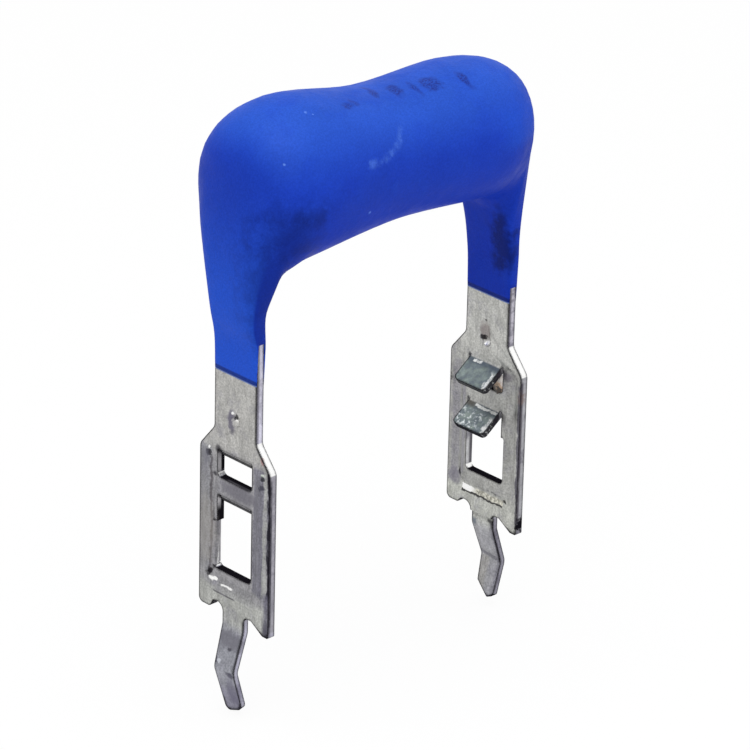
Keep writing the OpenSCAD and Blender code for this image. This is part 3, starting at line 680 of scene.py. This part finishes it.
def right_plate(tin, base):
    """Shading beside the windows and down the pin of the right terminal"""
    y, z = tin.waved_y, tin.z
    base = tin.striped(base, RIGHT_STRIPES, tin.band(z, 2.6, 9.6, 0.3))
    # the front tab's dark edge
    base = tin.lay(base, tone(80, 77, 88), tin.band(y, -2.95, -2.84, 0.04),
                   tin.band(z, 0.6, 2.6, 0.2), 0.8)
    # dark across the pin above its knee, and lighter behind it below
    knee = tin.band(tin.shifted(z, y, -0.12), -2.75, -2.60, 0.14)
    base = tin.lay(base, tone(92, 90, 100), knee, 0.6)
    base = tin.lay(base, tone(154, 151, 143), tin.between(z, -2.7, -3.0),
                   tin.between(y, -0.2, 0.2), 0.5)
    # the front of the pin, below its root
    return tin.lay(base, tone(112, 110, 122), tin.between(z, 0.1, -0.2),
                   tin.between(y, -0.45, -0.80), 0.6)


def right_windows(tin, sides):
    """The sides of the right terminal's windows, with painted shade darkening them towards the
    outer face
    """
    side = tin.blend(tin.between(tin.depth, 0.15, 0.35), tin.own["window_side"],
                     tone(96, 94, 100))
    return tin.lay(sides, side, tin.in_window)


def right_unshaded_edges(tin):
    """Edges without the painted edge shade: in the windows, and where the pin leaves the plate"""
    windows = tin.every(tin.in_window, tin.between(tin.z, 2.9, 3.1), tin.sheared)
    pin_root = tin.every(tin.band(tin.z, -0.9, 0.5, 0.1), tin.between(tin.sheared, 1, 0),
                         tin.between(tin.off_middle, 0.84, 0.78))
    return tin.either(windows, pin_root)


def right_marks(tin, base):
    """Solder-green flaps, stains, and painted highlights and shade on the groove and the dimple
    of the right terminal
    """
    inner = tin.between(tin.x, 10.05, 9.95)
    fine = tin.noise(2.6, detail=4.0, rough=0.65)
    ragged = tin.between(fine, 0.3, 0.7, -0.10, 0.10)
    crust = tin.noise(4.5, detail=4.0, rough=0.7)
    # the flaps stand clear of the plate towards the middle
    base = tin.lay(base, right_flaps(tin, ragged, crust), tin.between(tin.depth, -0.02, -0.10))
    base = tin.marked(base, RIGHT_MARKS, inner, ragged)
    # on the front edge, a brown stain high up and the front tab's black tip
    stain = tin.near((9.9, -2.95, 9.0), 0.1, 0.35, (0.9, 1.0, 0.7), ragged)
    base = tin.lay(base, tone(120, 96, 84), stain, tin.between(crust, 0.35, 0.6), 0.6)
    tip = tin.near((10.05, -2.95, 0.62), 0.18, 0.14, (0.8, 1.0, 0.6), ragged)
    base = tin.lay(base, BLACK_EDGE, tip)
    return right_groove(tin, base, inner, ragged, crust)


def right_flaps(tin, ragged, crust):
    """Flaps of a grey green with burnt spots, painted shade at their roots and undersides, and
    painted highlights along their rims and bends
    """
    y, z, depth = tin.y, tin.z, tin.depth
    blotch = tin.noise(1.8, detail=5.0, rough=0.65)
    lower = tin.between(z, 9.2, 8.8)
    root = tin.between(depth, -0.50, -0.18)
    face = tin.blend(tin.between(blotch, 0.38, 0.62), tone(112, 122, 128), tone(140, 152, 148))
    # painted shade where the flaps bend away at their roots
    face = tin.lay(face, tone(84, 92, 104), root, 0.75)
    face = tin.lay(face, tone(208, 213, 214), tin.between(crust, 0.50, 0.60),
                   tin.between(y, -0.9, -0.2), tin.between(depth, -0.35, -0.6), lower)
    face = tin.lay(face, tone(96, 92, 84), tin.between(y, 0.2, 0.9), root, lower, 0.8)
    # painted highlights along the front rim and along the bend
    rim = tin.band(tin.math("ADD", y, ragged), -1.26, -0.98, 0.06)
    face = tin.lay(face, tone(222, 224, 222), rim, tin.between(crust, 0.40, 0.55, 0.35, 1.0),
                   tin.between(depth, -0.3, -0.6))
    along = tin.either(tin.every(lower, tin.band(y, -1.15, 0.55, 0.1)),
                       tin.every(tin.between(z, 9.0, 9.4), tin.band(y, 0.25, 0.8, 0.1)))
    bend = tin.band(tin.shifted(depth, ragged, 0.4), -0.22, -0.12, 0.04)
    face = tin.lay(face, tone(226, 228, 226), bend, along,
                   tin.between(crust, 0.36, 0.46, 0.5, 1.0))
    face = tin.scaled(face, tin.between(crust, 0.3, 0.7, 0.85, 1.12))
    # painted shade on the faces that don't look upwards, the front cheek dark and pale in
    # patches, and black painted shade on the undersides
    under = tin.blend(lower, tone(58, 60, 62), tone(40, 40, 44))
    face = tin.lay(face, under, tin.between(tin.facing_z, 0.35, 0.0))
    cheek = tin.blend(tin.between(crust, 0.54, 0.62), tone(52, 52, 56), tone(206, 208, 208))
    cheek = tin.lay(cheek, tone(44, 42, 48), tin.between(depth, -0.7, -0.35))
    face = tin.lay(face, cheek, tin.between(tin.facing_y, -0.25, -0.5))
    return tin.lay(face, BLACK_EDGE, tin.between(tin.facing_z, -0.62, -0.75))


def right_groove(tin, base, inner, ragged, crust):
    """The groove's lower run: a line of painted shade, and above it a painted highlight, white at
    the back and crusted cream towards the front
    """
    y = tin.y
    height = tin.shifted(tin.z, ragged, 0.45)
    run = tin.band(y, -1.65, 1.70, 0.08)
    base = tin.lay(base, tone(40, 38, 40), tin.band(height, 1.36, 1.42, 0.05), run, inner, 0.9)
    cream = tin.blend(tin.between(crust, 0.40, 0.60), tone(150, 148, 138), tone(222, 220, 208))
    shine = tin.blend(tin.between(tin.math("ADD", y, ragged), 1.1, 0.5), PAINTED_HIGHLIGHT, cream)
    return tin.lay(base, shine, tin.band(height, 1.47, 1.76, 0.05), run, inner)


TERMINAL_FINISHES = {
    "left": {"plate": left_plate, "windows": left_windows, "marks": left_marks,
             "unshaded_edges": left_unshaded_edges},
    "right": {"plate": right_plate, "windows": right_windows, "marks": right_marks,
              "unshaded_edges": right_unshaded_edges},
}


def cap_tin():
    """Satin tin plate of the pressed end caps"""
    tin = Finish("cap_tin")
    patches = tin.noise(0.9, detail=4.0, rough=0.6)
    base = tin.blend(tin.between(patches, 0.35, 0.7), colour(0.44, 0.43, 0.41),
                     colour(0.56, 0.555, 0.53))
    tin.wear(Base_Color=base, Metallic=1.0, Roughness=tin.between(patches, 0.3, 0.7, 0.34, 0.5),
             Normal=tin.relief(patches, 0.02, 0.35))
    return tin.material


# ------------------------------------------------------------------ the other finishes

def plain_ceramic():
    """Off-white ceramic with darker specks"""
    core = Finish("ceramic")
    speck = core.noise(6.0, detail=4.0)
    base = core.blend(core.between(speck, 0.4, 0.8), colour(0.80, 0.77, 0.70),
                      colour(0.62, 0.58, 0.50))
    core.wear(Base_Color=base, Roughness=0.7, Normal=core.relief(speck, 0.02, 0.4))
    return core.material


def brown_film():
    """Brown metallic film, streaked along the rod"""
    film = Finish("film")
    streak = film.noise(3.0, detail=3.0, place=film.stretched((0.3, 1, 1)))
    base = film.blend(streak, colour(0.16, 0.11, 0.08), colour(0.30, 0.22, 0.16))
    film.wear(Base_Color=base, Metallic=0.6, Roughness=0.5, Normal=film.relief(streak, 0.01, 0.3))
    return film.material


def burnt_flux():
    """Flux that is pale on top, tan below and burnt dark at its foot"""
    flux = Finish("flux")
    mottle = flux.noise(2.4, detail=5.0, rough=0.65)
    height = flux.math("ADD", flux.z, flux.between(mottle, 0.3, 0.7, -0.3, 0.3))
    base = flux.blend(flux.between(height, 9.75, 9.30), tone(228, 222, 216), tone(190, 162, 136))
    base = flux.lay(base, tone(56, 46, 38), flux.between(height, 9.30, 8.90))
    flux.wear(Base_Color=base, Roughness=flux.between(mottle, 0.3, 0.7, 0.3, 0.6),
              Normal=flux.relief(mottle, 0.05, 0.6))
    return flux.material


# ------------------------------------------------------------------ pieces

MERGE_DISTANCE = 0.002 * MM
SHEET_PLANES = math.radians(0.5)
COAT_CREASES = math.radians(50)
SHEET_CREASES = math.radians(35)

# in millimetres: the front corner of the right terminal's upper window, and the crust's half
# sizes along the three axes before it leans back
FLUX_AT = (9.90, -1.04, 9.22)
FLUX_HALF_SIZES = Vector((0.20, 0.46, 0.70))
FLUX_LEAN = math.radians(14)
# its lumps: how far they stand out and how close they are, in radii, and their place in the noise
FLUX_LUMP_HEIGHT = 0.22
FLUX_LUMPS_PER_RADIUS = 1.7
FLUX_NOISE_AT = Vector((3, 1, 4))


def mesh_of(name, bm, material):
    """A bmesh made into a smooth-shaded mesh of one material"""
    for face in bm.faces:
        face.smooth = True
    mesh = bpy.data.meshes.new(name)
    bm.to_mesh(mesh)
    bm.free()
    mesh.materials.append(material)
    return mesh


def piece_of(name, mesh):
    piece = bpy.data.objects.new(name, mesh)
    bpy.context.scene.collection.objects.link(piece)
    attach(piece, "root")
    return piece


def dress(node_name, piece_name, material, creases, planes=None):
    """A merged copy of a CAD node that stands for it, smooth between its creases"""
    bm = bmesh.new()
    bm.from_mesh(nodes[node_name].data)
    bmesh.ops.remove_doubles(bm, verts=bm.verts, dist=MERGE_DISTANCE)
    if planes is not None:
        bmesh.ops.dissolve_limit(bm, angle_limit=planes, verts=bm.verts, edges=bm.edges,
                                 delimit=set())
    mesh = mesh_of(piece_name, bm, material)
    mesh.set_sharp_from_angle(angle=creases)
    piece = piece_of(piece_name, mesh)
    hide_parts(node_name)


def dress_coat():
    dress("coating", "coat_skin", blue_coat(), COAT_CREASES)


def dress_terminal(side):
    name = "terminal_" + side
    dress(name, name + "_plate", tinned_steel(side), SHEET_CREASES, SHEET_PLANES)


def drop_flux():
    """A crust of burnt flux in the front corner of the right terminal's upper window"""
    bm = bmesh.new()
    bmesh.ops.create_icosphere(bm, subdivisions=4, radius=1.0)
    for vertex in bm.verts:
        lump = noise.noise(vertex.co * FLUX_LUMPS_PER_RADIUS + FLUX_NOISE_AT)
        vertex.co *= 1 + FLUX_LUMP_HEIGHT * lump
    bmesh.ops.scale(bm, verts=bm.verts, vec=FLUX_HALF_SIZES)
    bmesh.ops.rotate(bm, verts=bm.verts, cent=(0, 0, 0),
                     matrix=Matrix.Rotation(FLUX_LEAN, 3, "X"))
    bmesh.ops.translate(bm, verts=bm.verts, vec=FLUX_AT)
    bmesh.ops.scale(bm, verts=bm.verts, vec=(MM, MM, MM))
    piece_of("flux", mesh_of("flux", bm, burnt_flux()))


def finish_node(name, material):
    mesh = nodes[name].data
    mesh.materials.clear()
    mesh.materials.append(material)


drop_flux()
dress_coat()
dress_terminal("left")
dress_terminal("right")
finish_node("ceramic_core", plain_ceramic())
finish_node("resistive_film", brown_film())
cap_material = cap_tin()
for cap in ("end_cap_left", "end_cap_right"):
    finish_node(cap, cap_material)


# ------------------------------------------------------------------ floor, light and camera

# in metres, the floor being just below the part's lowest point
FLOOR_Z = cad_bounds[0][2] - 0.02 * MM
FLOOR_RADIUS = 1.2
# how far the floor is its own white to the camera, and not what the lamps make it
FLOOR_GLOW = 0.93
ROOM_LIGHT = 0.62
BACKDROP_LIGHT = 1.0
WHITE = colour(1.0, 1.0, 1.0)

# in degrees
CAMERA_AZIMUTH = -44.176
CAMERA_ELEVATION = 25.0
CAMERA_ROLL = 1.4154
# in millimetres
CAMERA_TARGET = (0, -0.645, 12.729)
CAMERA_DISTANCE = 296.05
SENSOR_WIDTH = 36
# in pixels
FOCAL_LENGTH = 5141.4
FRAME_WIDTH = 750


def pale_floor():
    """A pale floor that looks white by itself and keeps the part's shadow"""
    floor = Finish("pale_floor")
    floor.wear(Base_Color=colour(0.82, 0.82, 0.82), Roughness=0.9)
    glow = floor.add("ShaderNodeEmission")
    glow.inputs["Color"].default_value = WHITE
    seen = floor.math("MULTIPLY", floor.backdrop_rays(), FLOOR_GLOW)
    mixed = floor.mixed_shader(seen, floor.shader.outputs["BSDF"], glow.outputs[0])
    floor.link(mixed, floor.output.inputs["Surface"])
    return floor.material


def lay_floor():
    mesh = bpy.data.meshes.new("floor")
    bm = bmesh.new()
    bmesh.ops.create_circle(bm, cap_ends=True, segments=64, radius=FLOOR_RADIUS)
    bmesh.ops.translate(bm, verts=bm.verts, vec=(0, 0, FLOOR_Z))
    bm.to_mesh(mesh)
    bm.free()
    mesh.materials.append(pale_floor())
    floor = bpy.data.objects.new("floor", mesh)
    bpy.context.scene.collection.objects.link(floor)


def even_light(room, strength):
    light = room.add("ShaderNodeBackground")
    light.inputs["Color"].default_value = WHITE
    light.inputs["Strength"].default_value = strength
    return light.outputs[0]


def light_the_room():
    """Even light from all round, and a white backdrop"""
    world = bpy.data.worlds.new("studio")
    bpy.context.scene.world = world
    world.use_nodes = True
    room = Nodes(world.node_tree)
    mixed = room.mixed_shader(room.backdrop_rays(), even_light(room, ROOM_LIGHT),
                              even_light(room, BACKDROP_LIGHT))
    room.link(mixed, room.add("ShaderNodeOutputWorld").inputs["Surface"])


def soft_box(name, at, towards, width, watts):
    """A square lamp, with its places and width in metres"""
    lamp = bpy.data.lights.new(name, "AREA")
    lamp.shape = "SQUARE"
    lamp.size = width
    lamp.energy = watts
    box = bpy.data.objects.new(name, lamp)
    bpy.context.scene.collection.objects.link(box)
    box.location = at
    box.rotation_euler = (Vector(towards) - Vector(at)).to_track_quat("-Z", "Y").to_euler()


def place_camera():
    azimuth = math.radians(CAMERA_AZIMUTH)
    elevation = math.radians(CAMERA_ELEVATION)
    roll = math.radians(CAMERA_ROLL)
    back = Vector((math.sin(azimuth) * math.cos(elevation),
                   -math.cos(azimuth) * math.cos(elevation), math.sin(elevation)))
    right = Vector((math.cos(azimuth), math.sin(azimuth), 0))
    up = back.cross(right)
    rolled_right = right * math.cos(roll) + up * math.sin(roll)
    rolled_up = up * math.cos(roll) - right * math.sin(roll)
    camera = bpy.data.cameras.new("camera")
    camera.sensor_width = SENSOR_WIDTH
    camera.lens = SENSOR_WIDTH * FOCAL_LENGTH / FRAME_WIDTH
    camera.clip_start = 0.01
    view = bpy.data.objects.new("camera", camera)
    bpy.context.scene.collection.objects.link(view)
    turn = Matrix((rolled_right, rolled_up, back)).transposed().to_4x4()
    place = Vector(CAMERA_TARGET) * MM + back * CAMERA_DISTANCE * MM
    view.matrix_world = Matrix.Translation(place) @ turn
    bpy.context.scene.camera = view


lay_floor()
light_the_room()
soft_box("top_box", at=(-0.05, -0.05, 0.35), towards=(0, 0, 0.015), width=0.30, watts=1.0)
soft_box("front_box", at=(-0.20, -0.35, 0.20), towards=(0, 0, 0.012), width=0.25, watts=0.15)
place_camera()

bpy.context.scene.view_settings.view_transform = "Standard"
